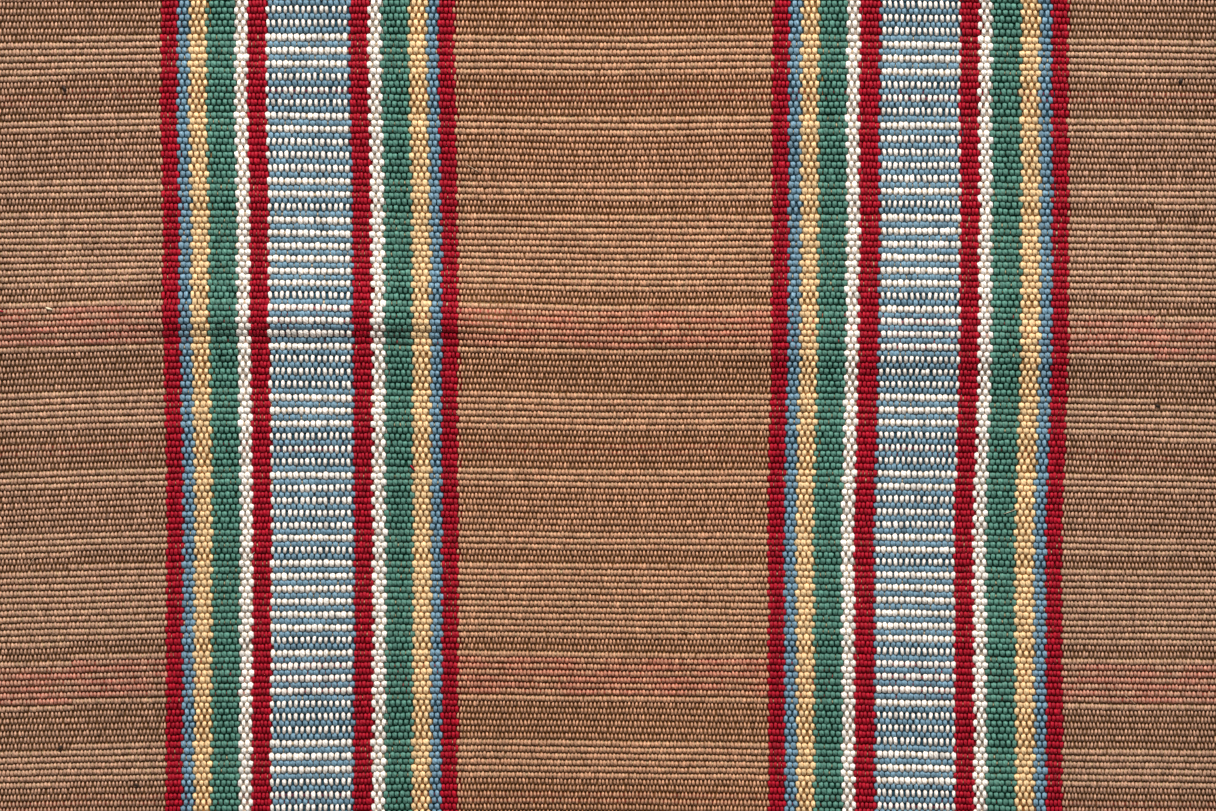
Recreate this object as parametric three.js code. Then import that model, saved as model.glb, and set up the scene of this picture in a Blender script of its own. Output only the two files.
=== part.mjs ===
// A cut length of striped, warp-faced rug: one flat woven sheet that still keeps a soft ridge from being folded.
// Millimetres, +Z up. X runs along the weft, from selvedge to selvedge, and Y along the warp and its stripes.
// The origin is at the middle of the underside.
import * as THREE from 'three';

// The sheet
const clothWidth = 484;
const clothThickness = 3; // from the underside to the top of a rib
const ribDepth = 0.6; // from the top of a rib down to the line between two ribs
const unevenness = 0.12; // how much thicker or thinner the cloth gets from place to place
const swellRun = { across: 37, along: 43, wander: 51, slant: 90 }; // how far apart those places lie, over two pi
const edgeRound = 0.9; // how far a rounded edge stands out past the rims of the two faces
const selvedgeTurn = 0.45; // how far the weft stands out where it turns round the last warp

// Each pick of weft lifts one rib across the cloth. The bands run from the far end (+Y) to the near end.
const pickBands = [
  { picks: 22, pitch: 2.63 },
  { picks: 30, pitch: 2.51 },
  { picks: 78, pitch: 2.47 },
];

// The soft ridge across the cloth: places across the cloth, the line of its crest and how high it lifts.
const foldRidge = [
  { x: -242, crestY: 30, lift: 1.6 },
  { x: -165, crestY: 35, lift: 2.8 },
  { x: -65, crestY: 35, lift: 2.8 },
  { x: 0, crestY: 27, lift: 1.4 },
  { x: 75, crestY: 21, lift: 1.1 },
  { x: 140, crestY: 20, lift: 1.1 },
  { x: 242, crestY: 18, lift: 0.7 },
];
const ridgeFarRun = 38; // from the crest to where the far slope meets the floor
const ridgeNearRun = 24; // the same on the near side, which is the steeper one
const ridgeNearBias = 0.62; // under 1 draws the steepest stretch of the near side up to the crest

// How far a rib lies towards +Y of its middle, at places along and across the cloth.
const bowPlaces = {
  farLeft: -242,
  left: -170,
  leftStripes: -116,
  middle: 0,
  right: 88,
  rightStripes: 140,
  farRight: 242,
};
const ribBow = [
  { y: 154, farLeft: 0, left: 0.3, leftStripes: 0.9, middle: 0, right: 0.8, rightStripes: 0, farRight: -2 },
  { y: 76, farLeft: 0.7, left: 1.8, leftStripes: 1.5, middle: 0, right: 0.1, rightStripes: 0, farRight: -1.8 },
  { y: 37, farLeft: 0.9, left: 2.5, leftStripes: 2.6, middle: 0, right: -0.3, rightStripes: -0.9, farRight: -2.4 },
  { y: -2, farLeft: -0.5, left: 1.5, leftStripes: 1.8, middle: 0, right: -0.3, rightStripes: -0.9, farRight: -2.9 },
  { y: -80, farLeft: -1.3, left: 0, leftStripes: 0.9, middle: 0, right: -0.8, rightStripes: -1.3, farRight: -2.8 },
  { y: -154, farLeft: -1.5, left: -0.7, leftStripes: -0.2, middle: 0, right: -1.3, rightStripes: -2.3, farRight: -4 },
];

// How far the warp lies towards +X of a straight line, by the left and by the right group of stripes.
const driftPlaces = { left: -116, right: 122 };
const warpDrift = [
  { y: 158, left: -1.6, right: 1 },
  { y: 80, left: -0.4, right: 1 },
  { y: 2, left: 0, right: 0 },
  { y: -76, left: 0.2, right: -1.2 },
  { y: -146, left: 0, right: -1.2 },
];

// The mesh
const acrossSteps = 10; // spans across the cloth
const flatStep = 40; // longest span of the underside along the cloth
const ridgeSteps = 9; // spans of the underside over the ridge
const bowRoom = 4; // how far past the ridge these spans reach, as the cloth is bowed there

const clothLength = pickBands.reduce((sum, band) => sum + band.picks * band.pitch, 0);

// A smooth curve through the named column of a table, whose rows are in order of the column by, either way.
function curveThrough(rows, by, column, at) {
  const up = rows[rows.length - 1][by] > rows[0][by];
  const knots = up ? rows : [...rows].reverse();
  const last = knots.length - 1;
  const inside = Math.min(Math.max(at, knots[0][by]), knots[last][by]);
  let i = 0;
  while (i < last - 1 && inside > knots[i + 1][by]) i += 1;
  const slopeAt = (k) => {
    const a = knots[Math.max(k - 1, 0)];
    const b = knots[Math.min(k + 1, last)];
    return (b[column] - a[column]) / (b[by] - a[by]);
  };
  const span = knots[i + 1][by] - knots[i][by];
  const t = (inside - knots[i][by]) / span;
  const rise = knots[i + 1][column] - knots[i][column];
  const inSlope = slopeAt(i) * span - rise;
  const outSlope = slopeAt(i + 1) * span - rise;
  const bend = t * (1 - t) * (inSlope * (1 - t) - outSlope * t);
  return knots[i][column] + rise * t + bend;
}

// A table with a column for each place across the cloth, read at any point of the cloth.
function readTable(rows, places, x, y) {
  const names = Object.keys(places);
  const acrossHere = names.map((name) => ({ place: places[name], value: curveThrough(rows, 'y', name, y) }));
  return curveThrough(acrossHere, 'place', 'value', x);
}

// How high the soft ridge lifts the cloth off the floor.
function ridgeLift(x, y) {
  const crest = curveThrough(foldRidge, 'x', 'crestY', x);
  const lift = curveThrough(foldRidge, 'x', 'lift', x);
  const away = y > crest ? (y - crest) / ridgeFarRun : Math.pow((crest - y) / ridgeNearRun, ridgeNearBias);
  return away >= 1 ? 0 : (lift * (1 + Math.cos(Math.PI * away))) / 2;
}

// Long, low swells of the upper face.
function swell(x, y) {
  const acrossWave = Math.sin(x / swellRun.across + Math.sin(y / swellRun.wander));
  return unevenness * acrossWave * Math.cos(y / swellRun.along - x / swellRun.slant);
}

// A point of the laid cloth from its place on the straight one and its height above the underside.
function lay(x, y, height) {
  const laidX = x + readTable(warpDrift, driftPlaces, x, y);
  const laidY = y + readTable(ribBow, bowPlaces, x, y);
  return [laidX, laidY, ridgeLift(laidX, laidY) + height];
}

// Lines between the picks, and the crests halfway, from the near end to the far end.
function ribStations() {
  const stations = [];
  let y = clothLength / 2;
  for (const band of pickBands) {
    for (let pick = 0; pick < band.picks; pick += 1) {
      stations.push({ y, crest: 0 }, { y: y - band.pitch / 2, crest: 1 });
      y -= band.pitch;
    }
  }
  stations.push({ y: -clothLength / 2, crest: 0 });
  return stations.reverse();
}

// The underside needs few lines where it is flat and more where the ridge lifts it.
function undersideStations() {
  const crests = foldRidge.map((place) => place.crestY);
  const ridgeNear = Math.min(...crests) - ridgeNearRun - bowRoom;
  const ridgeFar = Math.max(...crests) + ridgeFarRun + bowRoom;
  const spread = (from, to, steps) => Array.from({ length: steps }, (_, i) => from + ((to - from) * i) / steps);
  const nearSteps = Math.ceil((ridgeNear + clothLength / 2) / flatStep);
  const farSteps = Math.ceil((clothLength / 2 - ridgeFar) / flatStep);
  const flatNear = spread(-clothLength / 2, ridgeNear, nearSteps);
  const overRidge = spread(ridgeNear, ridgeFar, ridgeSteps);
  const flatFar = spread(ridgeFar, clothLength / 2, farSteps);
  return [...flatNear, ...overRidge, ...flatFar, clothLength / 2];
}

// Triangles between two lines of points that start and end together, whatever their numbers of points.
function zip(triangles, lower, upper) {
  let i = 0;
  let j = 0;
  while (i < lower.length - 1 || j < upper.length - 1) {
    const nextLower = (i + 1) / (lower.length - 1);
    const nextUpper = (j + 1) / (upper.length - 1);
    const stepLower = j === upper.length - 1 || (i < lower.length - 1 && nextLower <= nextUpper);
    if (stepLower) {
      triangles.push(lower[i], lower[i + 1], upper[j]);
      i += 1;
    } else {
      triangles.push(lower[i], upper[j + 1], upper[j]);
      j += 1;
    }
  }
}

function rugGeometry() {
  const points = [];
  const triangles = [];
  const add = (x, y, height) => points.push(lay(x, y, height)) - 1;
  const halfWidth = clothWidth / 2;
  const halfLength = clothLength / 2;
  const rimX = halfWidth - edgeRound;
  const rimY = halfLength - edgeRound;
  const across = Array.from({ length: acrossSteps + 1 }, (_, i) => -rimX + (2 * rimX * i) / acrossSteps);
  const clampY = (y) => Math.min(Math.max(y, -rimY), rimY);

  const ribs = ribStations();
  const upper = ribs.map(({ y, crest }) =>
    across.map((x) => add(x, clampY(y), clothThickness - ribDepth * (1 - crest) + swell(x, y))),
  );
  const under = undersideStations().map((y) => across.map((x) => add(x, clampY(y), 0)));

  const cover = (lines, facing) => {
    for (let j = 0; j < lines.length - 1; j += 1) {
      for (let i = 0; i < across.length - 1; i += 1) {
        const [a, b, c, d] = [lines[j][i], lines[j][i + 1], lines[j + 1][i + 1], lines[j + 1][i]];
        if (facing === 'up') triangles.push(a, b, c, a, c, d);
        else triangles.push(a, c, b, a, d, c);
      }
    }
  };
  cover(upper, 'up');
  cover(under, 'down');

  // The edge line halfway up: straight along the cut ends, scalloped by the turning weft at the selvedges.
  const middle = clothThickness / 2;
  const selvedge = (side) =>
    ribs.map(({ y, crest }) => add(side * (halfWidth - selvedgeTurn * (1 - crest)), clampY(y), middle));
  const rightEdge = selvedge(1);
  const leftEdge = selvedge(-1);
  const cutEnd = (side, from, to) => [from, ...across.slice(1, -1).map((x) => add(x, side * halfLength, middle)), to];
  const nearEdge = cutEnd(-1, leftEdge[0], rightEdge[0]);
  const farEdge = cutEnd(1, leftEdge[ribs.length - 1], rightEdge[ribs.length - 1]);

  const column = (lines, i) => lines.map((line) => line[i]);
  const lastLine = (lines) => lines[lines.length - 1];
  const end = across.length - 1;
  zip(triangles, column(under, end), rightEdge);
  zip(triangles, rightEdge, column(upper, end));
  zip(triangles, [...leftEdge].reverse(), column(upper, 0).reverse());
  zip(triangles, column(under, 0).reverse(), [...leftEdge].reverse());
  zip(triangles, under[0], nearEdge);
  zip(triangles, nearEdge, upper[0]);
  zip(triangles, [...farEdge].reverse(), [...lastLine(upper)].reverse());
  zip(triangles, [...lastLine(under)].reverse(), [...farEdge].reverse());

  const geometry = new THREE.BufferGeometry();
  geometry.setAttribute('position', new THREE.Float32BufferAttribute(points.flat(), 3));
  geometry.setIndex(triangles);
  geometry.computeBoundingBox();
  const middleOfBox = geometry.boundingBox.getCenter(new THREE.Vector3());
  geometry.translate(-middleOfBox.x, -middleOfBox.y, 0);
  geometry.computeVertexNormals();
  return geometry;
}

const rug = new THREE.Mesh(
  rugGeometry(),
  new THREE.MeshStandardMaterial({ color: 0x96765a, roughness: 0.95, metalness: 0 }),
);
rug.name = 'woven_rug';

const group = new THREE.Group();
group.add(rug);

export default group;
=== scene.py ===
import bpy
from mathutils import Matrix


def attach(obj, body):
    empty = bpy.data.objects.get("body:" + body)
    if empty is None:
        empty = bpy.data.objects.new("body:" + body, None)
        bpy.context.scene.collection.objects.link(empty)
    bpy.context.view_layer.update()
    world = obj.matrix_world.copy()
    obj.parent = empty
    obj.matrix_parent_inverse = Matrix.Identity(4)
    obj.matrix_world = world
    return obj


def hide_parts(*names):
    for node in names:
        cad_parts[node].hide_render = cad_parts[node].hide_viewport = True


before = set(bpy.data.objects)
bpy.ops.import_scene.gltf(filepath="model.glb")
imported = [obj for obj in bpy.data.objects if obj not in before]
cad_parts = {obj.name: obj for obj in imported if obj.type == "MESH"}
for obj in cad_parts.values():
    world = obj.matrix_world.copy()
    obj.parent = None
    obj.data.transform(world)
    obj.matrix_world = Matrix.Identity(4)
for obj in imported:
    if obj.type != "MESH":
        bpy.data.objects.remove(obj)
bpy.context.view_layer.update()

import math

import bpy
import numpy as np

# A cut length of striped, warp-faced rug. Sizes are in mm; X runs along the weft and Y along the warp.
# Every piece is woven flat and straight first, then laid: bowed, drifted and lifted over the fold ridge.
mm = 0.001

cloth = {
    "width": 484.0,  # selvedge to selvedge
    "thickness": 3.0,
    "pickBands": [(22, 2.63), (30, 2.51), (78, 2.47)],  # picks of weft and their pitch, from the far end
    "swell": 0.12,  # slow change of thickness from place to place
    "swellRuns": (37, 51, 43, 90),  # across, its bend, along, its slant
    "rimSteps": (131, 121),  # points along and across that find the laid cloth's box
}

# The soft ridge left by a fold: place across the cloth, line of its crest, how high it lifts,
# line of the crease below the crest, and the crease's share of the fall
foldRidge = [
    (-242, 31, 1.6, 27, 0.15),
    (-186, 34, 2.6, 29.2, 0.28),
    (-170, 35.5, 3.7, 29.1, 0.62),
    (-116, 35.5, 3.9, 28.9, 0.7),
    (-62, 35.5, 3.8, 28.8, 0.7),
    (-44, 33, 2.4, 28.4, 0.3),
    (0, 30, 1.6, 24, 0.2),
    (75, 28, 2.3, 15.5, 0.42),
    (140, 27, 2.3, 15, 0.45),
    (242, 22, 1.1, 14, 0.25),
]
# Lengths over which the ridge falls away
ridgeRun = {
    "far": 30,  # beyond the crest
    "brow": 9,  # just beyond the crest, for browShare of the fall
    "browShare": 0.35,
    "near": 27,  # on the crease's side
    "crease": 7,
}

# How far a rib lies towards +Y of its middle: a row for each place along, a column for each place across
bowAcross = [-242, -170, -116, -62, 0, 63, 140, 176, 242]
bowRows = [
    (154, (-0.2, 0.1, 0.6, 0.5, -0.1, 0.5, -0.4, -1.1, -2.1)),
    (122, (-0.1, 1.1, 0.8, 0.4, 0, 0.5, 0, -0.5, -1.2)),
    (106, (0.6, 2.0, 1.6, 0.9, 0, 0.6, 0, -0.5, -0.9)),
    (84, (0.3, 1.5, 1.2, 0.5, -0.2, 0, -0.3, -0.8, -1.2)),
    (60, (0.5, 1.3, 1.1, 0.3, -0.5, -0.6, -1.0, -1.5, -2.4)),
    (40, (0.3, 1.8, 1.9, 0.8, -0.4, -0.5, -1.2, -1.8, -2.4)),
    (14, (-0.1, 1.8, 1.9, 1.0, -0.2, -0.3, -1.2, -1.7, -2.7)),
    (0, (-0.4, 1.6, 1.7, 1.0, 0, -0.1, -0.9, -1.6, -2.7)),
    (-26, (-1.4, 0.6, 1.1, 0.7, -0.2, -0.2, -1.2, -1.6, -3.0)),
    (-62, (-1.1, 0.8, 1.3, 0.9, 0.2, -0.2, -1.1, -1.8, -2.5)),
    (-96, (-1.3, 0, 0.8, 0.9, 0.2, -0.3, -1.4, -2.2, -2.7)),
    (-126, (-1.5, -0.2, 0.4, 1.0, 0.3, -0.5, -2.0, -2.7, -3.5)),
    (-154, (-1.6, -0.8, -0.5, 0.2, -0.2, -1.0, -2.7, -3.5, -4.1)),
]

# How far the warp lies towards +X of straight, at both sides of each group of stripes
driftAcross = [-172, -58, 63, 178]
driftRows = [
    (146, (-1.9, -1.5, 1.0, 1.1)),
    (115, (-2.1, -1.15, 0.5, 1.0)),
    (80, (-1.3, -0.45, 0.8, 1.2)),
    (45, (-1.1, 0.05, 0.45, 1.05)),
    (-6, (-0.3, -0.2, -0.2, 0.15)),
    (-45, (0.4, -0.05, -1.1, -1.25)),
    (-84, (0.1, 0.05, -0.8, -1.35)),
    (-123, (0.1, -0.2, -0.85, -1.1)),
    (-148, (-0.1, -0.3, -0.65, -1.35)),
]


def smoothCurve(knots, values, at):
    # smooth curve through values at ascending knots; values may hold a column for each point in at
    knots = np.asarray(knots, float)
    values = np.asarray(values, float)
    if values.ndim == 1:
        values = np.repeat(values[:, None], len(at), axis=1)
    at = np.clip(at, knots[0], knots[-1])
    low = np.clip(np.searchsorted(knots, at) - 1, 0, len(knots) - 2)
    column = np.arange(len(at))

    def slope(k):
        before = np.maximum(k - 1, 0)
        after = np.minimum(k + 1, len(knots) - 1)
        return (values[after, column] - values[before, column]) / (knots[after] - knots[before])

    span = knots[low + 1] - knots[low]
    t = (at - knots[low]) / span
    rise = values[low + 1, column] - values[low, column]
    bendIn = slope(low) * span - rise
    bendOut = slope(low + 1) * span - rise
    return values[low, column] + rise * t + t * (1 - t) * (bendIn * (1 - t) - bendOut * t)


def readTable(rows, across, x, y):
    # a table's value at each point, smooth both ways
    along = [row[0] for row in reversed(rows)]
    columns = [smoothCurve(along, [row[1][i] for row in reversed(rows)], y)
               for i in range(len(across))]
    return smoothCurve(across, np.array(columns), x)


def ridgeLift(x, y):
    # how high the fold's ridge lifts each point
    place, crest, lift, crease, share = (np.array(column, float) for column in zip(*foldRidge))
    crest, lift, crease, share = (smoothCurve(place, column, x)
                                  for column in (crest, lift, crease, share))

    def fall(distance, run):
        return (1 - np.cos(np.pi * np.clip(distance / run, 0, 1))) / 2

    soft = fall(crest - y, ridgeRun["near"])
    sharp = fall(crease + ridgeRun["crease"] / 2 - y, ridgeRun["crease"])
    near = share * sharp + (1 - share) * soft
    brow = fall(y - crest, ridgeRun["brow"])
    beyond = fall(y - crest, ridgeRun["far"])
    far = ridgeRun["browShare"] * brow + (1 - ridgeRun["browShare"]) * beyond
    return lift * (1 - np.where(y > crest, far, near))


waveBend = {"run": 2.7, "depth": 1.3}  # how slowly, by its own length, and how far a wave strays sideways


def wander(x, y, runs, seed):
    # smooth unevenness from -1 to 1 or so: slanting waves of about these lengths
    random = np.random.default_rng(seed)
    total = np.zeros(np.broadcast(x, y).shape)
    for runX, runY in runs:
        phase = random.uniform(0, 2 * np.pi, 2)
        stray = waveBend["depth"] * np.sin(y * 2 * np.pi / (runY * waveBend["run"]) + phase[1])
        total += np.sin(x * 2 * np.pi / runX + y * 2 * np.pi / runY + phase[0] + stray)
    return total / math.sqrt(len(runs))


# Small unevenness of the ribs and of the warp, in mm
ribWander = {
    "runs": [(43, 31), (-71, 19), (127, -47)],
    "across": 0.1,
    "acrossSeed": 5,
    "along": 0.1,
    "alongSeed": 9,
}


def layRaw(points):
    # bows, drifts and lifts points of the straight cloth
    x, y, z = points.T
    aside = ribWander["across"] * wander(x, y, ribWander["runs"], ribWander["acrossSeed"])
    ahead = ribWander["along"] * wander(x, y, ribWander["runs"], ribWander["alongSeed"])
    laidX = x + readTable(driftRows, driftAcross, x, y) + aside
    laidY = y + readTable(bowRows, bowAcross, x, y) + ahead
    acrossRun, bendRun, alongRun, slantRun = cloth["swellRuns"]
    acrossWave = np.sin(x / acrossRun + np.sin(y / bendRun))
    swell = cloth["swell"] * acrossWave * np.cos(y / alongRun - x / slantRun) * z / cloth["thickness"]
    return np.stack([laidX, laidY, z + ridgeLift(laidX, laidY) + swell], axis=1)


clothLength = sum(picks * pitch for picks, pitch in cloth["pickBands"])
halfWidth = cloth["width"] / 2
halfLength = clothLength / 2


def boxShift():
    # the frame's origin is at the middle of the laid cloth's box
    stepsAlong, stepsAcross = cloth["rimSteps"]
    along = np.linspace(-halfLength, halfLength, stepsAlong)
    across = np.linspace(-halfWidth, halfWidth, stepsAcross)
    sides = [(side * halfWidth + 0 * along, along) for side in (-1, 1)]
    ends = [(across, side * halfLength + 0 * across) for side in (-1, 1)]
    rim = np.concatenate([np.stack([x, y, 0 * x], axis=1) for x, y in sides + ends])
    laid = layRaw(rim)
    return (laid.min(axis=0) + laid.max(axis=0))[:2] / 2


shift = boxShift()


def lay(points):
    # the same in the frame's place, in metres
    laid = layRaw(points)
    laid[:, :2] -= shift
    return laid * mm


def linear(hexColour):
    # an sRGB hex value as a linear colour
    parts = [int(hexColour[i:i + 2], 16) / 255 for i in (0, 2, 4)]
    return (*[c / 12.92 if c <= 0.04045 else ((c + 0.055) / 1.055) ** 2.4 for c in parts], 1.0)


def socketOf(sockets, key):
    # by place, or the enabled one of this name
    if isinstance(key, int):
        return sockets[key]
    return next(socket for socket in sockets if socket.name == key and socket.enabled)


def addNode(tree, kind, settings=None, inputs=None):
    node = tree.nodes.new(kind)
    for key, value in (settings or {}).items():
        setattr(node, key, value)
    for key, value in (inputs or {}).items():
        socket = socketOf(node.inputs, key)
        if isinstance(value, bpy.types.NodeSocket):
            tree.links.new(value, socket)
        else:
            socket.default_value = value
    return node


# Weft: the picks under the warp. crown is how high its rib stands and opens how far it opens the warp
# loops; long and slip are their length and place along the cloth in picks. gap is how much of it shows
# between the loops; through and tinge are how much of its colour shows among their fibres, as slivers
# and evenly.
wefts = {
    "dark": {"hex": "4c3421", "crown": 2.1, "opens": 0.0, "long": 1.0, "slip": 0.03,
             "gap": 0.3, "through": 0.0, "tinge": 0.0},
    "light": {"hex": "e2c59a", "crown": 2.3, "opens": 1.0, "long": 1.0, "slip": -0.05,
              "gap": 1.0, "through": 0.6, "tinge": 0.06},
    "mid": {"hex": "6a4228", "crown": 2.15, "opens": 0.45, "long": 1.02, "slip": -0.05,
            "gap": 0.35, "through": 0.1, "tinge": 0.0},
    "rose": {"hex": "d65e5c", "crown": 2.25, "opens": 0.98, "long": 0.98, "slip": 0.04,
             "gap": 0.7, "through": 0.7, "tinge": 0.24},
    "red": {"hex": "8c1626", "crown": 2.15, "opens": 0.1, "long": 1.0, "slip": 0.0,
            "gap": 0.7, "through": 0.3, "tinge": 0.08},
}
weftNames = list(wefts)

# One repeat of the weft, by picks, starting at the pick named in weftStart
weftStart = 13
weftRepeat = [
    ("dark", 2), ("red", 2), ("dark", 2), ("light", 3), ("mid", 7), ("light", 3), ("dark", 2),
    ("light", 12), ("dark", 2), ("light", 1), ("rose", 6), ("light", 1), ("dark", 6), ("light", 6),
]

# Where a new weft is laid in beside the old one, one pick late: beyond a line, on one side, for some picks
weftJoins = [
    {"beyond": -209.5, "side": -1, "from": 0, "to": 22},
    {"beyond": 212.5, "side": 1, "from": 32, "to": 74},
    {"beyond": -209.5, "side": -1, "from": 87, "to": 130},
]
weftPlan = [weftNames.index(name) for name, picks in weftRepeat for _ in range(picks)]


def weftAt(pick, x):
    # which weft lies under each point, as a place in weftNames
    late = np.zeros(np.broadcast(pick, x).shape, int)
    for join in weftJoins:
        inside = (pick >= join["from"]) & (pick < join["to"])
        late += (inside & (join["side"] * (x - join["beyond"]) > 0)).astype(int)
    return np.array(weftPlan)[(pick - late - weftStart) % len(weftPlan)]


weftColours = np.array([linear(wefts[name]["hex"]) for name in weftNames])


def weftValue(key, pick, x):
    return np.array([wefts[name][key] for name in weftNames])[weftAt(pick, x)]


# Picks from the far end: the middle and the pitch of each
pickPitch = np.concatenate([np.full(picks, pitch) for picks, pitch in cloth["pickBands"]])
pickEdge = halfLength - np.concatenate([[0], np.cumsum(pickPitch)])
pickMiddle = (pickEdge[:-1] + pickEdge[1:]) / 2
pickCount = len(pickPitch)

# Warp: its dye on the crown and its darker painted shade low on a loop and down between the loops, how far
# up a loop that painted shade reaches, the width of a loop on a closed and on an open pick as a share of
# the pitch, its rise, its length in picks, and how far the weft's colour flecks and tinges it
yarns = {
    "brown": {"hex": "dba482", "paintedShade": "906238", "reach": 0.32, "width": (0.9, 1.2), "rise": 0.0,
              "long": 1.0, "fleck": 1.0, "tinge": 1.0},
    "outerBrown": {"hex": "d1a287", "paintedShade": "89613c", "reach": 0.32, "width": (0.9, 1.2), "rise": 0.0,
                   "long": 1.0, "fleck": 1.0, "tinge": 1.0},
    "red": {"hex": "ae0a26", "paintedShade": "8c000c", "reach": 0.0, "width": (1.06, 1.08), "rise": 0.0,
            "long": 1.0, "fleck": 0.1, "tinge": 0.0},
    "blue": {"hex": "7a9cae", "paintedShade": "3a6274", "reach": 0.0, "width": (0.89, 1.04), "rise": 0.0,
             "long": 1.02, "fleck": 0.2, "tinge": 0.0},
    "ochre": {"hex": "f6d29e", "paintedShade": "c49258", "reach": 0.0, "width": (0.8, 1.03), "rise": 0.05,
              "long": 1.06, "fleck": 0.1, "tinge": 0.0},
    "green": {"hex": "5c8d7d", "paintedShade": "164f3c", "reach": 0.2, "width": (1.0, 1.08), "rise": 0.0,
              "long": 1.0, "fleck": 0.35, "tinge": 0.0},
    "white": {"hex": "fff8ee", "paintedShade": "e4d0bc", "reach": 0.0, "width": (0.74, 0.99), "rise": 0.1,
              "long": 1.06, "fleck": 0.2, "tinge": 0.2},
}

# Stripes of each group: yarn, loops a pick, width. "bars" is white on one pick and blue on the next.
stripeGroups = [
    {"start": -172.5, "oddBars": "white", "stripes": [
        ("red", 4, 6.37), ("blue", 2, 4.49), ("ochre", 3, 6.9), ("green", 5, 10.9), ("white", 2, 5.0),
        ("red", 5, 7.2), ("bars", 14, 32.5), ("red", 5, 7.15), ("white", 2, 5.2), ("green", 5, 10.6),
        ("ochre", 3, 7.1), ("blue", 2, 4.3), ("red", 4, 6.25),
    ]},
    {"start": 63.4, "oddBars": "blue", "stripes": [
        ("red", 4, 6.4), ("blue", 2, 4.6), ("ochre", 3, 6.93), ("green", 5, 10.9), ("white", 2, 5.03),
        ("red", 5, 7.74), ("bars", 14, 31.4), ("red", 5, 7.3), ("white", 2, 5.1), ("green", 5, 11.25),
        ("ochre", 3, 7.43), ("blue", 2, 4.66), ("red", 4, 6.36),
    ]},
]
brownLoops = (47, 82, 43)  # loops a pick to the left of, between and to the right of the groups


def warpBands():
    # yarn, left side, pitch, loops a pick, and the yarn of odd and even picks where they differ
    bands = []
    left = -halfWidth
    for group, loops, name in zip(stripeGroups, brownLoops, ("outerBrown", "brown")):
        bands.append((name, name, left, (group["start"] - left) / loops, loops))
        left = group["start"]
        for name, loops, width in group["stripes"]:
            odd = even = name
            if name == "bars":
                odd = group["oddBars"]
                even = "blue" if odd == "white" else "white"
            bands.append((odd, even, left, width / loops, loops))
            left += width
    loops = brownLoops[-1]
    bands.append(("outerBrown", "outerBrown", left, (halfWidth - left) / loops, loops))
    return bands


warp = warpBands()
print(f"warp: {sum(band[-1] for band in warp)} loops a pick, {pickCount} picks")

# How the loops differ from one to the next, and those of the bars from their yarn's others
loopPlan = {
    "height": 0.95,  # from where a loop dives beside the weft to its crown
    "ends": (0.25, 0.75),  # places of the odd and the even picks' end of warp in a loop's pitch
    "jitter": 0.1,  # sideways
    "alongJitter": 0.06,
    "rowJitter": 0.1,  # sideways, a whole stretch of a pick
    "rowAnchors": 12,
    "lean": 9.0,  # degrees
    "unevenness": 0.13,
    "loopTint": 0.1,
    "warpTint": 0.04,
    "streak": (0.55, 0.6),  # share of the weft's colour that shows, and how far that changes along a pick
    "streakRuns": [(37, 3.1), (-71, 5.3), (19, 2.3)],
    "barWide": {"white": 0.94, "blue": 1.1},
    "barLong": {"white": 1.04, "blue": 0.95},
    "barRise": {"white": 0.12, "blue": -0.14},
    "seeds": {"face": 21, "under": 22, "streak": 31, "first": 40},
}


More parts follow.
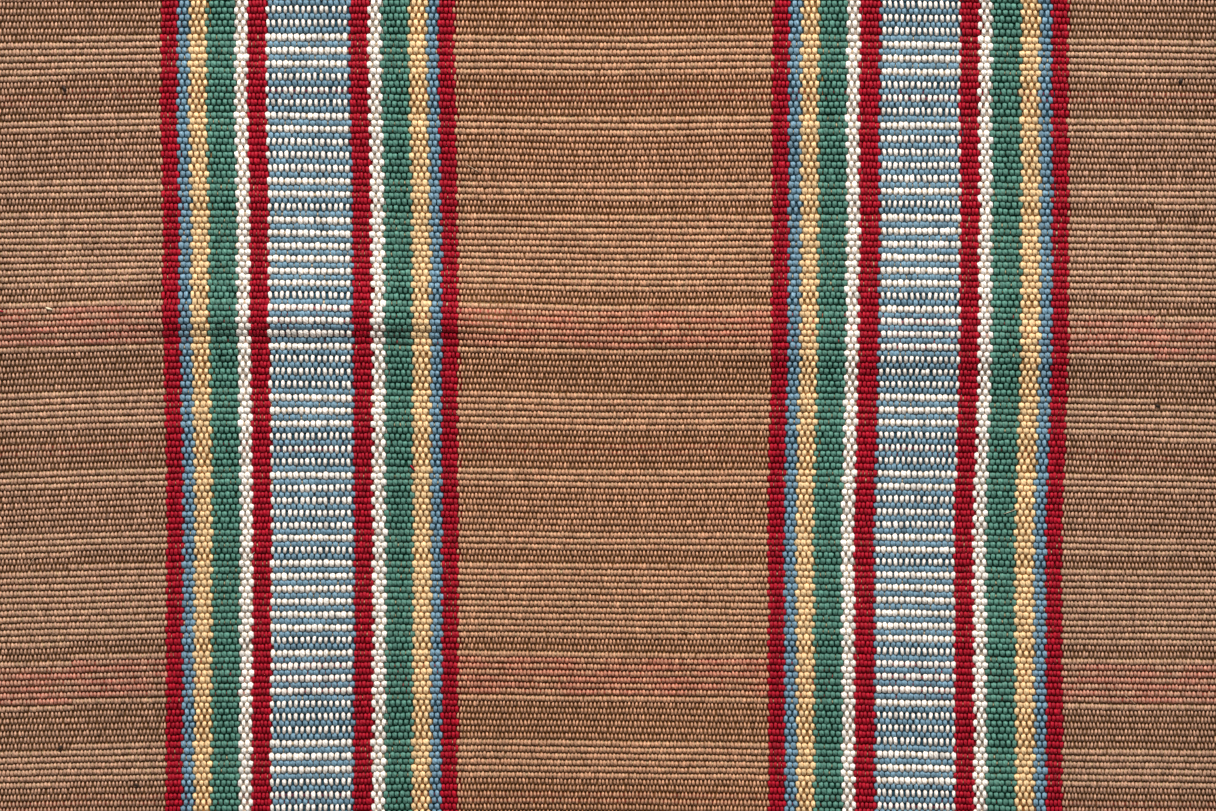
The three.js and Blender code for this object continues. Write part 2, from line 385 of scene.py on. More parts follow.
def loopSeeds(upper):
    # one record a loop: place in the straight cloth, size, tint, yarn and pick
    random = np.random.default_rng(loopPlan["seeds"]["face" if upper else "under"])
    found = {key: [] for key in ("x", "pick", "pitch", "yarn", "bar", "warpNumber")}
    picks = np.arange(pickCount)
    warpNumber = 0
    for odd, even, left, pitch, count in warp:
        number = np.arange(count)
        for parity, name, share in zip((1, 0), (odd, even), loopPlan["ends"]):
            # above and below, the two sets of warp ends change places
            rows = picks[(picks % 2 == parity) == upper]
            x = left + (number + share) * pitch
            grid = np.broadcast_to(x, (len(rows), count))
            found["x"].append(grid.ravel())
            found["pick"].append(np.repeat(rows, count))
            found["pitch"].append(np.full(grid.size, pitch))
            found["yarn"].append(np.full(grid.size, name))
            found["bar"].append(np.full(grid.size, odd != even))
            found["warpNumber"].append(np.tile(warpNumber + 2 * number + 1 - parity, len(rows)))
        warpNumber += 2 * count
    seeds = {key: np.concatenate(parts) for key, parts in found.items()}
    x = seeds["x"]
    pick = seeds["pick"]
    bar = seeds["bar"]
    total = len(x)

    def ofYarn(key):
        return np.array([yarns[name][key] for name in seeds["yarn"]])

    def ofBar(key, plain):
        return np.where(bar, [loopPlan[key].get(name, plain) for name in seeds["yarn"]], plain)

    anchors = np.linspace(-halfWidth, halfWidth, loopPlan["rowAnchors"])
    rowShift = random.normal(0, loopPlan["rowJitter"], (len(anchors), pickCount))
    sideways = smoothCurve(anchors, rowShift[:, pick], x) + random.normal(0, loopPlan["jitter"], total)
    crown = cloth["thickness"] + ofYarn("rise") + ofBar("barRise", 0)
    closed, opened = ofYarn("width").T
    width = seeds["pitch"] * (closed + (opened - closed) * weftValue("opens", pick, x))
    width = width * ofBar("barWide", 1)
    length = pickPitch[pick] * weftValue("long", pick, x) * ofYarn("long") * ofBar("barLong", 1)
    along = pickMiddle[pick] + pickPitch[pick] * weftValue("slip", pick, x)
    along = along + random.normal(0, loopPlan["alongJitter"], total)
    base = crown - loopPlan["height"]
    z = base if upper else cloth["thickness"] - base
    warpTint = random.normal(0, loopPlan["warpTint"], warpNumber)
    loopTint = random.normal(0, loopPlan["loopTint"], total)
    shown, change = loopPlan["streak"]
    waves = wander(x, pickMiddle[pick], loopPlan["streakRuns"], loopPlan["seeds"]["streak"])
    streak = np.clip(shown + change * waves, 0, 1)
    seeds["at"] = np.stack([x + sideways, along, z], axis=1)
    seeds["size"] = np.stack([width, length, np.full(total, loopPlan["height"])], axis=1)
    seeds["turn"] = np.tile([0.0 if upper else math.pi, 0.0, 0.0], (total, 1))
    seeds["tint"] = 1 + warpTint[seeds["warpNumber"]] + loopTint
    seeds["through"] = weftValue("through", pick, x) * streak
    seeds["tinge"] = weftValue("tinge", pick, x) * streak * ofYarn("tinge")
    seeds["weftColour"] = weftColours[weftAt(pick, x)]
    return seeds


def plainSeeds(at, size, turn, colour=None, random=None):
    # records for loops of their own colour, or of the yarn's where none is given
    total = len(at)
    shade = np.ones(total) if random is None else 1 + random.normal(0, loopPlan["loopTint"], total)
    return {
        "at": np.array(at, float),
        "size": np.array(size, float),
        "turn": np.array(turn, float),
        "tint": shade,
        "through": np.zeros(total),
        "tinge": np.full(total, 0.0 if colour is None else 1.0),
        "weftColour": np.ones((total, 4)) if colour is None else np.array(colour, float),
    }


def chosen(seeds, mask):
    return {key: values[mask] for key, values in seeds.items()}


def joined(first, second):
    return {key: np.concatenate([first[key], second[key]]) for key in second}


# The warp is cut at both ends: a blunt stub for every end of warp, side by side
cutEnd = {
    "inset": 0.3,
    "wide": 1.05,  # of the room that an end of warp has
    "tall": 2.7,
    "out": 0.8,
    "ragged": (0.7, 1.2),  # shortest and longest, of out
    "uneven": 0.08,
    "seed": 50,
}


def cutSeeds(name, side):
    random = np.random.default_rng(cutEnd["seed"] + side)
    at = []
    size = []
    for odd, even, left, pitch, count in warp:
        for share, yarn in zip(loopPlan["ends"], (odd, even)):
            if yarn != name:
                continue
            for number in range(count):
                height = cloth["thickness"] / 2 + random.normal(0, cutEnd["uneven"])
                out = cutEnd["out"] * random.uniform(*cutEnd["ragged"])
                at.append((left + (number + share) * pitch, side * (halfLength - cutEnd["inset"]), height))
                size.append((pitch / 2 * cutEnd["wide"], cutEnd["tall"], out))
    turn = np.tile([-side * math.pi / 2, 0.0, 0.0], (len(at), 1))
    return plainSeeds(at, size, turn, random=random)


# At a selvedge the weft turns from one pick into the next
weftTurn = {
    "inset": 0.55,
    "wide": 2.3,
    "long": 1.5,  # in picks
    "out": 0.95,
    "lean": 3,  # degrees
    "reach": 1,  # to both sides of the selvedge, on the flat map
    "seed": 61,
}


def turnSeeds():
    random = np.random.default_rng(weftTurn["seed"])
    at = []
    size = []
    turn = []
    colour = []
    for side in (-1, 1):
        x = side * (halfWidth - weftTurn["inset"])
        for pick in range(0 if side < 0 else 1, pickCount - 1, 2):
            at.append((x, pickEdge[pick + 1], cloth["thickness"] / 2))
            size.append((weftTurn["wide"], weftTurn["long"] * pickPitch[pick], weftTurn["out"]))
            turn.append((0.0, side * math.pi / 2, 0.0))
            colour.append(weftColours[weftAt(np.array([pick]), np.array([x]))[0]])
    return plainSeeds(at, size, turn, colour, random)


# Nubs and loose bits of fibre caught in the cloth: place, length, width, turn in degrees, how far they lie
# over the cloth, and colour
nubShape = {"sunk": 0.3, "thicker": 0.15, "thickest": 0.7}
nubs = [
    (-209.8, 123.0, 2.2, 1.3, 20, 0.2, "3c2c22"),
    (-213.7, -132.4, 2.0, 1.3, -30, 0.2, "423024"),
    (-183.7, -147.2, 1.8, 1.2, 70, 0.2, "423024"),
    (121.3, 40.0, 1.5, 1.1, 10, 0.15, "243440"),
    (134.9, 40.4, 1.4, 1.0, -15, 0.15, "243440"),
    (121.3, 34.5, 1.2, 1.0, 0, 0.2, "a01424"),
    (-236.0, 36.5, 3.0, 0.7, 80, 0.2, "b02434"),
    (-216.8, 36.9, 2.4, 0.8, 70, 0.2, "f0dcb8"),
    (183.3, 53.6, 1.7, 1.3, 30, 0.25, "d8ae90"),
    (222.3, 127.7, 2.0, 1.5, -20, 0.2, "3a2a20"),
    (214.2, 2.0, 1.9, 1.2, 65, 0.2, "3a2a20"),
    (-76.1, -25.2, 2.6, 0.6, 40, 0.15, "b8162c"),
    (-52.0, 92.0, 5.5, 0.18, 62, 0.25, "e8c8a8"),
    (-141.0, -61.0, 6.0, 0.18, -50, 0.3, "f4ecdc"),
    (31.0, -88.0, 5.0, 0.16, 75, 0.25, "e0bc98"),
    (96.0, 104.0, 5.5, 0.16, 35, 0.25, "ecd8b8"),
    (158.0, -40.0, 4.5, 0.18, -70, 0.3, "e8c8a8"),
    (205.0, -112.0, 6.0, 0.16, 50, 0.25, "e0bc98"),
    (-225.0, -60.0, 5.0, 0.16, -38, 0.25, "e8c8a8"),
]


def nubSeeds():
    at = []
    size = []
    turns = []
    colours = []
    for x, y, long, wide, turn, over, colour in nubs:
        at.append((x, y, cloth["thickness"] + over - nubShape["sunk"]))
        size.append((wide, long, min(nubShape["thickest"], wide + nubShape["thicker"])))
        turns.append((0.0, 0.0, math.radians(turn)))
        colours.append(linear(colour))
    return plainSeeds(at, size, turns, colours)


def loopShape(name, ring, top, owner):
    # a plump closed loop of yarn: a low ring, each point of it joined to the top point that owns it
    verts = ring + top
    around = len(ring)
    # the underside comes first, because a bake keeps the last face of those that share a place
    faces = [tuple(reversed(range(around)))]
    for k in range(around):
        after = (k + 1) % around
        corner = around + owner[k]
        nextCorner = around + owner[after]
        faces.append((k, after, corner) if corner == nextCorner else (k, after, nextCorner, corner))
    if len(top) > 2:
        faces.append(tuple(range(around, len(verts))))
    mesh = bpy.data.meshes.new(name)
    mesh.from_pydata(verts, [], faces)
    inLoop = [(x, y, min(1.0, max(0.0, z))) for x, y, z in verts]
    writeAttribute(mesh, "inLoop", "FLOAT_VECTOR", inLoop)
    shape = bpy.data.objects.new(name, mesh)
    bpy.context.scene.collection.objects.link(shape)
    return shape


def loopTree():
    # puts the loop shape on each seed with its own size and turn, and a chance lean and unevenness
    tree = bpy.data.node_groups.new("loopWeave", "GeometryNodeTree")
    for name, kind in (("Geometry", "Geometry"), ("Loop Shape", "Object"), ("Lean", "Float"),
                       ("Unevenness", "Float"), ("Seed", "Int"), ("Finish", "Material")):
        tree.interface.new_socket(name, in_out="INPUT", socket_type="NodeSocket" + kind)
    tree.interface.new_socket("Geometry", in_out="OUTPUT", socket_type="NodeSocketGeometry")
    given = addNode(tree, "NodeGroupInput").outputs
    shape = addNode(tree, "GeometryNodeObjectInfo", None, {"Object": given["Loop Shape"]})
    turn = addNode(tree, "GeometryNodeInputNamedAttribute", {"data_type": "FLOAT_VECTOR"},
                   {"Name": "turn"})
    size = addNode(tree, "GeometryNodeInputNamedAttribute", {"data_type": "FLOAT_VECTOR"},
                   {"Name": "size"})
    stray = addNode(tree, "FunctionNodeRandomValue", {"data_type": "FLOAT"},
                    {"Min": -1.0, "Max": 1.0, "Seed": given["Seed"]})
    lean = addNode(tree, "ShaderNodeMath", {"operation": "MULTIPLY"},
                   {0: socketOf(stray.outputs, "Value"), 1: given["Lean"]})
    aside = addNode(tree, "ShaderNodeCombineXYZ", None, {"Z": lean.outputs[0]})
    turned = addNode(tree, "ShaderNodeVectorMath", {"operation": "ADD"},
                     {0: socketOf(turn.outputs, "Attribute"), 1: aside.outputs[0]})
    spread = addNode(tree, "FunctionNodeRandomValue", {"data_type": "FLOAT_VECTOR"},
                     {"Min": (-1.0, -1.0, -1.0), "Max": (1.0, 1.0, 1.0), "Seed": given["Seed"]})
    share = addNode(tree, "ShaderNodeVectorMath", {"operation": "SCALE"},
                    {0: socketOf(spread.outputs, "Value"), "Scale": given["Unevenness"]})
    whole = addNode(tree, "ShaderNodeVectorMath", {"operation": "ADD"},
                    {0: share.outputs[0], 1: (1, 1, 1)})
    scale = addNode(tree, "ShaderNodeVectorMath", {"operation": "MULTIPLY"},
                    {0: socketOf(size.outputs, "Attribute"), 1: whole.outputs[0]})
    placed = addNode(tree, "GeometryNodeInstanceOnPoints", None,
                     {"Points": given["Geometry"], "Instance": shape.outputs["Geometry"],
                      "Rotation": turned.outputs[0], "Scale": scale.outputs[0]})
    real = addNode(tree, "GeometryNodeRealizeInstances", None, {"Geometry": placed.outputs[0]})
    smooth = addNode(tree, "GeometryNodeSetShadeSmooth", None, {"Geometry": real.outputs[0]})
    finished = addNode(tree, "GeometryNodeSetMaterial", None,
                       {"Geometry": smooth.outputs[0], "Material": given["Finish"]})
    addNode(tree, "NodeGroupOutput", None, {"Geometry": finished.outputs[0]})
    return tree


def readCoords(mesh):
    flat = np.empty(len(mesh.vertices) * 3, np.float32)
    mesh.vertices.foreach_get("co", flat)
    return flat.reshape(-1, 3).astype(float)


def writeCoords(mesh, points):
    mesh.vertices.foreach_set("co", points.astype(np.float32).ravel())
    mesh.update()


def writeAttribute(mesh, name, kind, values):
    key = {"FLOAT": "value", "FLOAT_VECTOR": "vector", "FLOAT_COLOR": "color"}[kind]
    layer = mesh.attributes.new(name, kind, "POINT")
    layer.data.foreach_set(key, np.asarray(values, np.float32).ravel())


# The flat map that a finish is baked through
flatMap = {
    "room": 1.4,  # beside each stretch of a yarn
    "near": 3,  # two stretches that lie closer than this are one
    "face": 0.49,  # share of the map that each side of the weft sheet takes
    "faceFrom": 0.005,
    "underFrom": 0.505,
}


def writeMap(mesh, u, v):
    # one value a vertex
    corner = np.empty(len(mesh.loops), np.int32)
    mesh.loops.foreach_get("vertex_index", corner)
    layer = mesh.uv_layers.new(name="OFBake")
    layer.data.foreach_set("uv", np.stack([u[corner], v[corner]], axis=1).astype(np.float32).ravel())


def foldedAcross(x, spans):
    # places across, with the stretches that hold none of this yarn taken out
    room = flatMap["room"]
    knots = []
    marks = []
    total = 0.0
    for left, right in spans:
        knots += [left - room, right + room]
        marks += [total, total + right - left + 2 * room]
        total = marks[-1]
    return np.interp(x, knots, marks) / total


def yarnSpans(name):
    # stretches across the cloth that hold this yarn
    spans = []
    for odd, even, left, pitch, count in warp:
        if name not in (odd, even):
            continue
        if spans and left - spans[-1][1] < flatMap["near"]:
            spans[-1] = (spans[-1][0], left + pitch * count)
        else:
            spans.append((left, left + pitch * count))
    return spans


weaveTree = loopTree()
weaveInputs = {item.name: item.identifier for item in weaveTree.interface.items_tree
               if item.in_out == "INPUT"}
pieces = []


def weave(name, seeds, shape, finish, spans, slot, lean=loopPlan["lean"]):
    # instances the loop shape on the seeds, lays the result on the cloth and makes it a plain mesh
    mesh = bpy.data.meshes.new(name + "Seeds")
    mesh.vertices.add(len(seeds["at"]))
    writeCoords(mesh, seeds["at"] * mm)
    writeAttribute(mesh, "size", "FLOAT_VECTOR", seeds["size"] * mm)
    writeAttribute(mesh, "turn", "FLOAT_VECTOR", seeds["turn"])
    for key in ("tint", "through", "tinge"):
        writeAttribute(mesh, key, "FLOAT", seeds[key])
    writeAttribute(mesh, "weftColour", "FLOAT_COLOR", seeds["weftColour"])
    source = bpy.data.objects.new(name + "Seeds", mesh)
    bpy.context.scene.collection.objects.link(source)
    modifier = source.modifiers.new("weave", "NODES")
    modifier.node_group = weaveTree
    modifier[weaveInputs["Loop Shape"]] = shape
    modifier[weaveInputs["Lean"]] = math.radians(lean)
    modifier[weaveInputs["Unevenness"]] = loopPlan["unevenness"]
    modifier[weaveInputs["Seed"]] = loopPlan["seeds"]["first"] + len(pieces)
    modifier[weaveInputs["Finish"]] = finish
    depsgraph = bpy.context.evaluated_depsgraph_get()
    made = bpy.data.meshes.new_from_object(source.evaluated_get(depsgraph), depsgraph=depsgraph,
                                           preserve_all_data_layers=True)
    bpy.data.objects.remove(source)
    made.name = name
    straight = readCoords(made) / mm
    low, high = straight[:, 1].min(), straight[:, 1].max()
    writeMap(made, foldedAcross(straight[:, 0], spans), (straight[:, 1] - low) / (high - low))
    writeCoords(made, lay(straight))
    piece = bpy.data.objects.new(name, made)
    bpy.context.scene.collection.objects.link(piece)
    pieces.append((piece, slot))
    made.calc_loop_triangles()
    print(f"{name}: {len(seeds['at'])} loops, {len(made.loop_triangles)} triangles")


# Spun warp yarn, dyed and soft: a low sheen, fine fibres along it and the turns of its plies, with painted
# shade low on each loop, painted shade and light along the twist, and painted shade in the groove between
# the plies
yarnFinish = {
    "roughness": 0.62,
    "specular": 0.22,
    "fibreRun": 0.5,  # mm across
    "fibreSlender": 0.35,  # width of a fibre's streak by its length
    "fibreShade": 0.24,
    "twistRun": 0.8,  # mm between the turns of the plies, drawn coarser than they are so that they show
    "twistBend": 2.0,
    "twistDepth": 0.07,  # mm
    "twistStrength": 0.7,
    # painted shade in the twist's grooves and painted light on its turns
    "twistPaintedShade": 0.07,
    "plyLean": 0.35,  # how far the groove between the two plies slants on a loop
    "plyWide": 0.1,  # of the loop's width
    # painted shade in the groove between the two plies
    "plyPaintedShade": 0.22,
    "wearRun": 60,  # mm
    "wearShade": 0.06,
    "noiseSpan": (0.3, 0.7),  # where most of a noise lies
    "fleckRun": 0.45,  # mm across, slivers of the weft among the warp's fibres
    "fleckSlender": 0.3,
    "fleckEdge": (0.57, 0.63),  # of the noise, from none to full
    "fleckCrown": 0.25,  # of a fleck's strength low on the loop
}


def yarnMaterial(name, yarn):
    plan = yarnFinish
    material = bpy.data.materials.new(name)
    material.use_nodes = True
    tree = material.node_tree
    tree.nodes.clear()
    place = addNode(tree, "ShaderNodeTexCoord").outputs["Object"]
    wear = addNode(tree, "ShaderNodeTexNoise", None,
                   {"Vector": place, "Scale": 1 / (plan["wearRun"] * mm), "Detail": 3.0})
    stretched = addNode(tree, "ShaderNodeMapping", None,
                        {"Vector": place, "Scale": (1, plan["fibreSlender"], 1)})
    fibre = addNode(tree, "ShaderNodeTexNoise", None,
                    {"Vector": stretched.outputs[0], "Scale": 1 / (plan["fibreRun"] * mm), "Detail": 2.0})
    # a wave texture has about 20 / (2 pi) bands for each unit of its scale
    twist = addNode(tree, "ShaderNodeTexWave", {"bands_direction": "DIAGONAL"},
                    {"Vector": place, "Scale": 2 * math.pi / (20 * plan["twistRun"] * mm),
                     "Distortion": plan["twistBend"]})

    def times(first, second):
        return addNode(tree, "ShaderNodeMath", {"operation": "MULTIPLY"}, {0: first, 1: second}).outputs[0]

    def around(value, span, share):
        return addNode(tree, "ShaderNodeMapRange", None,
                       {"Value": value, "From Min": span[0], "From Max": span[1],
                        "To Min": 1 - share, "To Max": 1 + share}).outputs[0]

    # wear and fibres vary the tone; the twist adds painted shade and light
    shades = [
        around(wear.outputs["Fac"], plan["noiseSpan"], plan["wearShade"]),
        around(fibre.outputs["Fac"], plan["noiseSpan"], plan["fibreShade"]),
        around(twist.outputs["Fac"], (0, 1), plan["twistPaintedShade"]),
    ]
    shade = addNode(tree, "ShaderNodeAttribute", {"attribute_name": "tint"}).outputs["Fac"]
    for factor in shades:
        shade = times(shade, factor)
    inLoop = addNode(tree, "ShaderNodeAttribute", {"attribute_name": "inLoop"})
    loopPlace = addNode(tree, "ShaderNodeSeparateXYZ", None, {"Vector": inLoop.outputs["Vector"]}).outputs
    # painted shade along the groove between the two plies, slanting across the loop
    slant = addNode(tree, "ShaderNodeMath", {"operation": "MULTIPLY_ADD"},
                    {0: loopPlace["Y"], 1: plan["plyLean"], 2: loopPlace["X"]})
    aside = addNode(tree, "ShaderNodeMath", {"operation": "ABSOLUTE"}, {0: slant.outputs[0]})
    groove = addNode(tree, "ShaderNodeMapRange", None,
                     {"Value": aside.outputs[0], "From Max": plan["plyWide"],
                      "To Min": 1 - plan["plyPaintedShade"], "To Max": 1.0})
    shade = times(shade, groove.outputs[0])
    # painted shade: from the darker paintedShade colour low on the loop and between the loops, up to the
    # dye on the crown
    height = addNode(tree, "ShaderNodeMapRange", None,
                     {"Value": loopPlace["Z"], "From Min": yarn["reach"]})
    dye = addNode(tree, "ShaderNodeMix", {"data_type": "RGBA"},
                  {"Factor": height.outputs[0], "A": linear(yarn["paintedShade"]), "B": linear(yarn["hex"])})
    slender = addNode(tree, "ShaderNodeMapping", None,
                      {"Vector": place, "Scale": (1, plan["fleckSlender"], 1)})
    sliver = addNode(tree, "ShaderNodeTexNoise", None,
                     {"Vector": slender.outputs[0], "Scale": 1 / (plan["fleckRun"] * mm), "Detail": 1.0})
    fleck = addNode(tree, "ShaderNodeMapRange", None,
                    {"Value": sliver.outputs["Fac"], "From Min": plan["fleckEdge"][0],
                     "From Max": plan["fleckEdge"][1], "To Max": yarn["fleck"]})
    flank = addNode(tree, "ShaderNodeMapRange", None,
                    {"Value": loopPlace["Z"], "To Min": 1.0, "To Max": plan["fleckCrown"]})
    through = addNode(tree, "ShaderNodeAttribute", {"attribute_name": "through"})
    tinge = addNode(tree, "ShaderNodeAttribute", {"attribute_name": "tinge"})
    amount = addNode(tree, "ShaderNodeMath", {"operation": "MULTIPLY_ADD"},
                     {0: times(fleck.outputs[0], flank.outputs[0]), 1: through.outputs["Fac"],
                      2: tinge.outputs["Fac"]})
    weftColour = addNode(tree, "ShaderNodeAttribute", {"attribute_name": "weftColour"})
    tinged = addNode(tree, "ShaderNodeMix", {"data_type": "RGBA"},
                     {"Factor": amount.outputs[0], "A": socketOf(dye.outputs, "Result"),
                      "B": weftColour.outputs["Color"]})
    colour = addNode(tree, "ShaderNodeVectorMath", {"operation": "SCALE"},
                     {0: socketOf(tinged.outputs, "Result"), "Scale": shade})
    relief = addNode(tree, "ShaderNodeBump", None,
                     {"Height": twist.outputs["Fac"], "Distance": plan["twistDepth"] * mm,
                      "Strength": plan["twistStrength"]})
    surface = addNode(tree, "ShaderNodeBsdfPrincipled", None,
                      {"Base Color": colour.outputs[0], "Normal": relief.outputs[0],
                       "Roughness": plan["roughness"], "Specular IOR Level": plan["specular"]})
    addNode(tree, "ShaderNodeOutputMaterial", None, {"Surface": surface.outputs[0]})
    return material


finishes = {name: yarnMaterial(name + " spun wool warp", yarn) for name, yarn in yarns.items()}

# Footprints of the loops, blunt at their ends, which dive, and their smaller flat crowns. The brown
# loops are narrower at their far end, so that where they crowd their rows are scalloped.
stripeCrown = [(0.3, -0.4, 0.8), (0.3, 0.32, 1), (-0.3, 0.32, 1), (-0.3, -0.4, 0.8)]
stripeRing = [(0.27, -0.62, -0.4), (0.5, -0.3, 0), (0.5, 0.28, 0), (0.27, 0.6, -0.4),
              (-0.27, 0.6, -0.4), (-0.5, 0.28, 0), (-0.5, -0.3, 0), (-0.27, -0.62, -0.4)]
brownCrown = [(0.31, -0.34, 0.82), (0.18, 0.27, 1), (-0.18, 0.27, 1), (-0.31, -0.34, 0.82)]
brownRing = [(0.3, -0.57, -0.5), (0.5, -0.08, 0), (0.14, 0.6, -0.5),
             (-0.14, 0.6, -0.5), (-0.5, -0.08, 0), (-0.3, -0.57, -0.5)]
underRing = [(0.5, 0, 0), (0, 0.6, -0.2), (-0.5, 0, 0), (0, -0.6, -0.2)]
stripeLoop = loopShape("stripeLoop", stripeRing, stripeCrown, [0, 0, 1, 1, 2, 2, 3, 3])
brownLoop = loopShape("brownLoop", brownRing, brownCrown, [0, 0, 1, 2, 2, 3])
underLoop = loopShape("underLoop", underRing, [(0, 0, 1)], [0, 0, 0, 0])
upper = loopSeeds(True)
under = loopSeeds(False)

for name in yarns:
    isBrown = name in ("brown", "outerBrown")
    shape = brownLoop if isBrown else stripeLoop
    slot = "brown_yarn" if isBrown else name + "_yarn"
    spans = yarnSpans(name)
    stubs = joined(cutSeeds(name, 1), cutSeeds(name, -1))
    faceSeeds = joined(chosen(upper, upper["yarn"] == name), stubs)
    underSeeds = chosen(under, under["yarn"] == name)
    weave(name + "_loops", faceSeeds, shape, finishes[name], spans, slot)
    weave(name + "_under_loops", underSeeds, underLoop, finishes[name], spans, slot)

turnFinish = yarnMaterial("plied wool weft at its turns", yarns["brown"])
rims = [(edge - weftTurn["reach"], edge + weftTurn["reach"]) for edge in (-halfWidth, halfWidth)]
weave("weft_turns", turnSeeds(), stripeLoop, turnFinish, rims, "weft_yarn", weftTurn["lean"])
nubFinish = yarnMaterial("loose wool fibre", yarns["brown"])
weave("nubs", nubSeeds(), stripeLoop, nubFinish, [(-halfWidth, halfWidth)], None, 0)


# The weft: one ribbed sheet with a rib for each pick on both faces
weftSheet = {
    "valley": 1.7,  # height of the line between two ribs of the upper face
    "flankAt": 0.3,  # of the pitch from the rib's middle
    "flankShare": 0.8,  # of the rib's height there
    "across": 16,  # panels from selvedge to selvedge
    "inset": 0.5,
    "joinStep": 0.2,  # on both sides of a line where a new weft is laid in
    "roughness": 0.9,
    "specular": 0.15,
    "fleckRun": 1.3,
    "fleckSlender": 0.4,
    "fleckEdge": (0.42, 0.5),  # of the noise, from where no weft shows to where it does
    "flankBare": 0.2,  # of what shows on the rib's crest; the rest of the flank is painted shade
    "shade": 0.64,  # of the warp's painted shade colour: painted shade on the weft where the loops shade the gap
    # the same painted shade under the bars
    "barShade": 0.56,
}


def weftMesh():
    plan = weftSheet
    rimX = halfWidth - plan["inset"]
    steps = (-plan["joinStep"], plan["joinStep"])
    joins = [join["beyond"] + step for join in weftJoins for step in steps]
    across = np.unique(np.concatenate([np.linspace(-rimX, rimX, plan["across"] + 1), joins]))
    rows = []
    for pick in range(pickCount):
        flank = plan["flankAt"] * pickPitch[pick]
        # in the valley between two ribs none of the weft shows: it is all painted shade
        rows.append((pick, pickEdge[pick], 0.0, 0.0))
        rows.append((pick, pickMiddle[pick] + flank, plan["flankShare"], plan["flankBare"]))
        rows.append((pick, pickMiddle[pick], 1.0, 1.0))
        rows.append((pick, pickMiddle[pick] - flank, plan["flankShare"], plan["flankBare"]))
    rows.append((pickCount - 1, pickEdge[-1], 0.0, 0.0))
    pick, y, share, bareShare = (np.array(column)[:, None] for column in zip(*rows))
    x = across[None, :] + 0 * y
    crown = weftValue("crown", pick, x)
    top = plan["valley"] + share * (crown - plan["valley"])
    grid = np.stack([x, y + 0 * x, top], axis=2)
    colours = weftColours[weftAt(pick, x)]
    bare = bareShare * weftValue("gap", pick, x)
    below = grid.copy()
    below[:, :, 2] = cloth["thickness"] - top
    points = np.concatenate([grid.reshape(-1, 3), below.reshape(-1, 3)])
    colours = np.concatenate([colours.reshape(-1, 4)] * 2)
    bare = np.concatenate([bare.ravel()] * 2)
    long, wide = x.shape
    number = np.arange(long * wide).reshape(long, wide)
    other = number + long * wide
    a, b, c, d = number[:-1, :-1], number[:-1, 1:], number[1:, 1:], number[1:, :-1]
    topFaces = np.stack([a, d, c, b], axis=2).reshape(-1, 4)
    lowFaces = np.stack([a, b, c, d], axis=2).reshape(-1, 4) + long * wide

    def wall(upperLine, lowerLine):
        return np.stack([upperLine[:-1], upperLine[1:], lowerLine[1:], lowerLine[:-1]], axis=1)

    walls = [
        wall(number[0], other[0]),
        wall(number[-1][::-1], other[-1][::-1]),
        wall(number[:, 0][::-1], other[:, 0][::-1]),
        wall(number[:, -1], other[:, -1]),
    ]
    faces = np.concatenate([topFaces, lowFaces, *walls])
    mesh = bpy.data.meshes.new("weft_sheet")
    mesh.from_pydata((points * mm).tolist(), [], faces.tolist())
    writeAttribute(mesh, "weftColour", "FLOAT_COLOR", colours)
    writeAttribute(mesh, "bare", "FLOAT", bare)
    u = (points[:, 0] + halfWidth) / cloth["width"]
    writeAttribute(mesh, "across", "FLOAT", u)
    lower = np.arange(len(points)) >= long * wide
    start = np.where(lower, flatMap["underFrom"], flatMap["faceFrom"])
    writeMap(mesh, u, (points[:, 1] + halfLength) / clothLength * flatMap["face"] + start)
    writeCoords(mesh, lay(points))
    mesh.polygons.foreach_set("use_smooth", [True] * len(mesh.polygons))
    return mesh


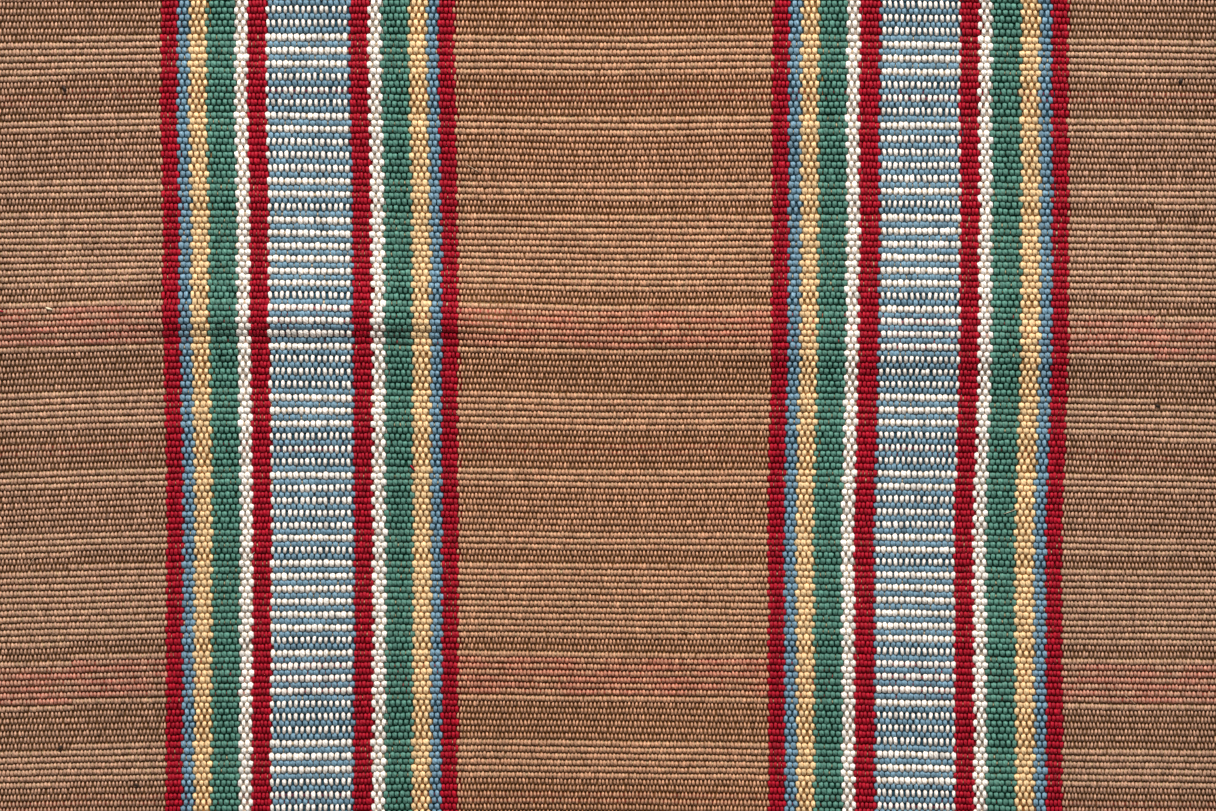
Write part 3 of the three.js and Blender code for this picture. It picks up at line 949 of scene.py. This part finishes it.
# Weft yarn, matte: flecks of its own colour on a rib, else painted shade between the loops, the warp's
# painted shade colour darkened further
def weftMaterial():
    plan = weftSheet
    material = bpy.data.materials.new("plied wool weft")
    material.use_nodes = True
    tree = material.node_tree
    tree.nodes.clear()
    place = addNode(tree, "ShaderNodeTexCoord").outputs["Object"]
    dye = addNode(tree, "ShaderNodeAttribute", {"attribute_name": "weftColour"})
    bare = addNode(tree, "ShaderNodeAttribute", {"attribute_name": "bare"})
    across = addNode(tree, "ShaderNodeAttribute", {"attribute_name": "across"})
    shaded = addNode(tree, "ShaderNodeValToRGB", None, {"Fac": across.outputs["Fac"]})
    ramp = shaded.color_ramp
    ramp.interpolation = "CONSTANT"
    # for each band of warp, its painted shade colour darkened further
    for number, (odd, even, left, pitch, count) in enumerate(warp):
        at = (left + halfWidth) / cloth["width"]
        stop = ramp.elements[0] if number == 0 else ramp.elements.new(at)
        stop.position = at
        paintedShade = linear(yarns["blue" if odd != even else odd]["paintedShade"])
        shade = plan["barShade" if odd != even else "shade"]
        stop.color = (*[c * shade for c in paintedShade[:3]], 1)
    ramp.elements.remove(ramp.elements[-1])
    squeezed = addNode(tree, "ShaderNodeMapping", None,
                       {"Vector": place, "Scale": (1, plan["fleckSlender"], 1)})
    fleck = addNode(tree, "ShaderNodeTexNoise", None,
                    {"Vector": squeezed.outputs[0], "Scale": 1 / (plan["fleckRun"] * mm), "Detail": 2.0})
    shows = addNode(tree, "ShaderNodeMapRange", None,
                    {"Value": fleck.outputs["Fac"], "From Min": plan["fleckEdge"][0],
                     "From Max": plan["fleckEdge"][1]})
    amount = addNode(tree, "ShaderNodeMath", {"operation": "MULTIPLY"},
                     {0: shows.outputs[0], 1: bare.outputs["Fac"]})
    colour = addNode(tree, "ShaderNodeMix", {"data_type": "RGBA"},
                     {"Factor": amount.outputs[0], "A": shaded.outputs["Color"],
                      "B": dye.outputs["Color"]})
    surface = addNode(tree, "ShaderNodeBsdfPrincipled", None,
                      {"Base Color": socketOf(colour.outputs, "Result"), "Roughness": plan["roughness"],
                       "Specular IOR Level": plan["specular"]})
    addNode(tree, "ShaderNodeOutputMaterial", None, {"Surface": surface.outputs[0]})
    return material


weft = bpy.data.objects.new("weft_sheet", weftMesh())
bpy.context.scene.collection.objects.link(weft)
weft.data.materials.append(weftMaterial())
pieces.append((weft, "weft_yarn"))
print("weft sheet made")

for shape in (stripeLoop, brownLoop, underLoop):
    bpy.data.objects.remove(shape)
for piece, slot in pieces:
    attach(piece, "root")
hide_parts("woven_rug")

# Studio: plain pale floor, one soft key from the far side, an even fill
studio = {
    "floorHex": "d9d6d0",
    "floorRoughness": 0.9,
    "floorReach": 2.5,  # m from the middle
    "floorDrop": 0.5,  # mm under the cloth
    "keyElevation": 33,  # degrees
    "keyDistance": 3.0,  # m
    "keySize": 0.75,  # m
    "keyPower": 125,  # W
    "fill": 0.26,
    "lens": 85,
    "sensor": 36,
    "photoSize": (1216, 811),
    "photoPixel": 0.39,  # mm of cloth that one photo pixel spans
}

floorMesh = bpy.data.meshes.new("floor")
reach = studio["floorReach"]
floorCorners = [(x, y, -studio["floorDrop"] * mm)
                for x, y in ((-reach, -reach), (reach, -reach), (reach, reach), (-reach, reach))]
floorMesh.from_pydata(floorCorners, [], [(0, 1, 2, 3)])
floor = bpy.data.objects.new("floor", floorMesh)
bpy.context.scene.collection.objects.link(floor)
floorMaterial = bpy.data.materials.new("pale matte floor")
floorMaterial.use_nodes = True
floorSurface = floorMaterial.node_tree.nodes["Principled BSDF"]
floorSurface.inputs["Base Color"].default_value = linear(studio["floorHex"])
floorSurface.inputs["Roughness"].default_value = studio["floorRoughness"]
floorMesh.materials.append(floorMaterial)

softbox = bpy.data.lights.new("key", "AREA")
softbox.shape = "DISK"
softbox.size = studio["keySize"]
softbox.energy = studio["keyPower"]
key = bpy.data.objects.new("key", softbox)
elevation = math.radians(studio["keyElevation"])
distance = studio["keyDistance"]
key.location = (0, distance * math.cos(elevation), distance * math.sin(elevation))
key.rotation_euler = (elevation - math.pi / 2, 0, 0)
bpy.context.scene.collection.objects.link(key)

world = bpy.data.worlds.new("studio")
world.use_nodes = True
fill = world.node_tree.nodes["Background"]
fill.inputs["Color"].default_value = (1, 1, 1, 1)
fill.inputs["Strength"].default_value = studio["fill"]
bpy.context.scene.world = world
bpy.context.scene.view_settings.view_transform = "Standard"

lens = bpy.data.cameras.new("camera")
lens.lens = studio["lens"]
lens.sensor_width = studio["sensor"]
camera = bpy.data.objects.new("camera", lens)
viewWidth = studio["photoSize"][0] * studio["photoPixel"] * mm
cameraHeight = cloth["thickness"] * mm + viewWidth * lens.lens / lens.sensor_width
camera.location = (-shift[0] * mm, -shift[1] * mm, cameraHeight)
bpy.context.scene.collection.objects.link(camera)
bpy.context.scene.camera = camera
print("studio ready")
